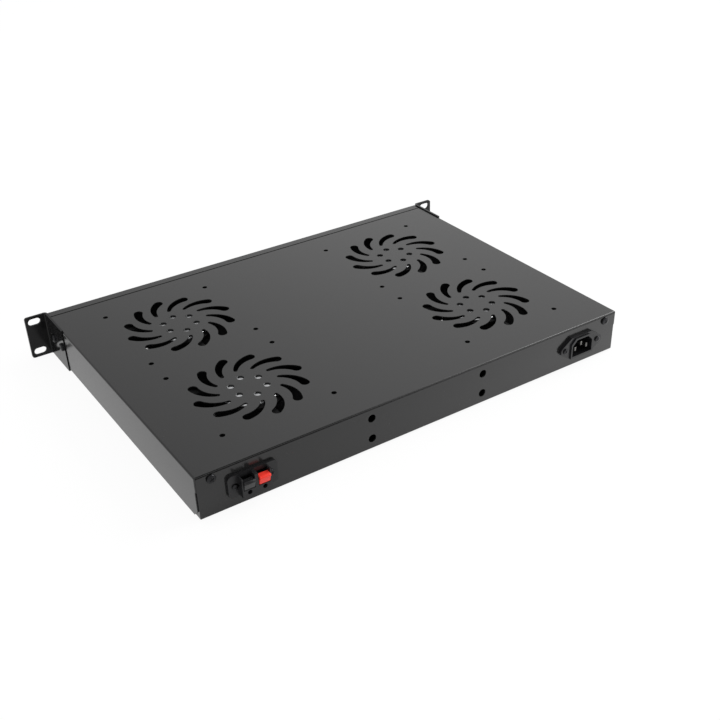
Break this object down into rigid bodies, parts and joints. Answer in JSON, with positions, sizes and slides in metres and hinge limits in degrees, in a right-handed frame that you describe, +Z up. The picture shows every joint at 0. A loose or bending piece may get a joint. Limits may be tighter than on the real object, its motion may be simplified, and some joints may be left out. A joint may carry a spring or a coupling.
{
  "type": "rack fan tray",
  "caption": "One-unit rack-mount tray that blows air upwards through swirl-slotted grilles, with a folded-sheet case, mains inlet, spring terminal, thermostat and switch.",
  "frame": {"origin": "centre of the rack-ear slot pattern, on the back face of the ears where they meet the rack rails", "axes": "+X to the right as seen from the front, +Y to the rear, +Z up"},
  "size_m": [0.4826, 0.3396, 0.0438],
  "materials": {
    "tray_paint": "semi-gloss black powder coat",
    "ear_paint": "semi-gloss black powder coat",
    "black_screw": "black zinc plating",
    "plain_steel": "bright zinc",
    "fan_casting": "die-cast, painted black",
    "fan_impeller": "moulded, satin black",
    "bearing_bronze": "sintered bronze",
    "hub_foil": "satin silver foil, blank",
    "inlet_plastic": "moulded black",
    "contact_metal": "nickel-plated brass",
    "terminal_plastic": "moulded black",
    "lever_red": "moulded red",
    "lever_black": "moulded black",
    "control_plastic": "fine-grained black",
    "display_window": "smoked filter",
    "key_plastic": "satin grey",
    "switch_plastic": "satin black",
    "rocker_plastic": "gloss black"
  },
  "bodies": {
    "tray": {"chassis_tray": "tray_paint", "top_cover": "tray_paint", "left_ear_bracket": "ear_paint", "right_ear_bracket": "ear_paint", "ear_bracket_screws": "black_screw", "rear_cover_screws": "black_screw", "fan_mounting_screws": "black_screw", "mains_inlet_screws": "black_screw", "spring_terminal_screws": "black_screw", "ear_bracket_nuts": "plain_steel", "rear_panel_nuts": "plain_steel", "fan_frame_front_left": "fan_casting", "fan_bearings_front_left": "bearing_bronze", "fan_hub_disc_front_left": "hub_foil", "fan_frame_front_right": "fan_casting", "fan_bearings_front_right": "bearing_bronze", "fan_hub_disc_front_right": "hub_foil", "fan_frame_rear_left": "fan_casting", "fan_bearings_rear_left": "bearing_bronze", "fan_hub_disc_rear_left": "hub_foil", "fan_frame_rear_right": "fan_casting", "fan_bearings_rear_right": "bearing_bronze", "fan_hub_disc_rear_right": "hub_foil", "mains_inlet_body": "inlet_plastic", "mains_inlet_pins": "contact_metal", "spring_terminal_body": "terminal_plastic", "spring_terminal_contacts": "contact_metal", "thermostat_case": "control_plastic", "thermostat_window": "display_window", "thermostat_clips": "control_plastic", "mains_switch_case": "switch_plastic", "mains_switch_tabs": "contact_metal"},
    "rotor_front_left": {"fan_rotor_front_left": "fan_impeller", "fan_shaft_front_left": "plain_steel"},
    "rotor_front_right": {"fan_rotor_front_right": "fan_impeller", "fan_shaft_front_right": "plain_steel"},
    "rotor_rear_left": {"fan_rotor_rear_left": "fan_impeller", "fan_shaft_rear_left": "plain_steel"},
    "rotor_rear_right": {"fan_rotor_rear_right": "fan_impeller", "fan_shaft_rear_right": "plain_steel"},
    "lever_red": {"spring_terminal_lever_red": "lever_red"},
    "lever_black": {"spring_terminal_lever_black": "lever_black"},
    "rocker": {"mains_switch_rocker": "rocker_plastic"},
    "key_up": {"thermostat_key_up": "key_plastic"},
    "key_set": {"thermostat_key_set": "key_plastic"},
    "key_down": {"thermostat_key_down": "key_plastic"},
    "key_power": {"thermostat_key_power": "key_plastic"}
  },
  "joints": [
    {"name": "spin_front_left", "type": "hinge", "parent": "tray", "child": "rotor_front_left", "pos_m": [-0.124, 0.0939, 0], "axis": [0, 0, 1], "continuous": true},
    {"name": "spin_front_right", "type": "hinge", "parent": "tray", "child": "rotor_front_right", "pos_m": [0.124, 0.0939, 0], "axis": [0, 0, 1], "continuous": true},
    {"name": "spin_rear_left", "type": "hinge", "parent": "tray", "child": "rotor_rear_left", "pos_m": [-0.124, 0.2294, 0], "axis": [0, 0, 1], "continuous": true},
    {"name": "spin_rear_right", "type": "hinge", "parent": "tray", "child": "rotor_rear_right", "pos_m": [0.124, 0.2294, 0], "axis": [0, 0, 1], "continuous": true},
    {"name": "press_lever_red", "type": "hinge", "parent": "tray", "child": "lever_red", "pos_m": [0.166, 0.3248, 0.00085], "axis": [1, 0, 0], "range_deg": [0, 10], "stiffness_Nm_per_rad": 0.08, "springref_deg": -8.59},
    {"name": "press_lever_black", "type": "hinge", "parent": "tray", "child": "lever_black", "pos_m": [0.1794, 0.3248, 0.00085], "axis": [1, 0, 0], "range_deg": [0, 10], "stiffness_Nm_per_rad": 0.08, "springref_deg": -8.59},
    {"name": "tip_rocker", "type": "hinge", "parent": "tray", "child": "rocker", "pos_m": [-0.096, -0.0006, 0.00005], "axis": [0, 0, 1], "range_deg": [-16, 0]},
    {"name": "press_key_up", "type": "slide", "parent": "tray", "child": "key_up", "axis": [0, 1, 0], "range_m": [0, 0.0006], "stiffness_N_per_m": 2000, "springref_m": -0.0002},
    {"name": "press_key_set", "type": "slide", "parent": "tray", "child": "key_set", "axis": [0, 1, 0], "range_m": [0, 0.0006], "stiffness_N_per_m": 2000, "springref_m": -0.0002},
    {"name": "press_key_down", "type": "slide", "parent": "tray", "child": "key_down", "axis": [0, 1, 0], "range_m": [0, 0.0006], "stiffness_N_per_m": 2000, "springref_m": -0.0002},
    {"name": "press_key_power", "type": "slide", "parent": "tray", "child": "key_power", "axis": [0, 1, 0], "range_m": [0, 0.0006], "stiffness_N_per_m": 2000, "springref_m": -0.0002}
  ]
}
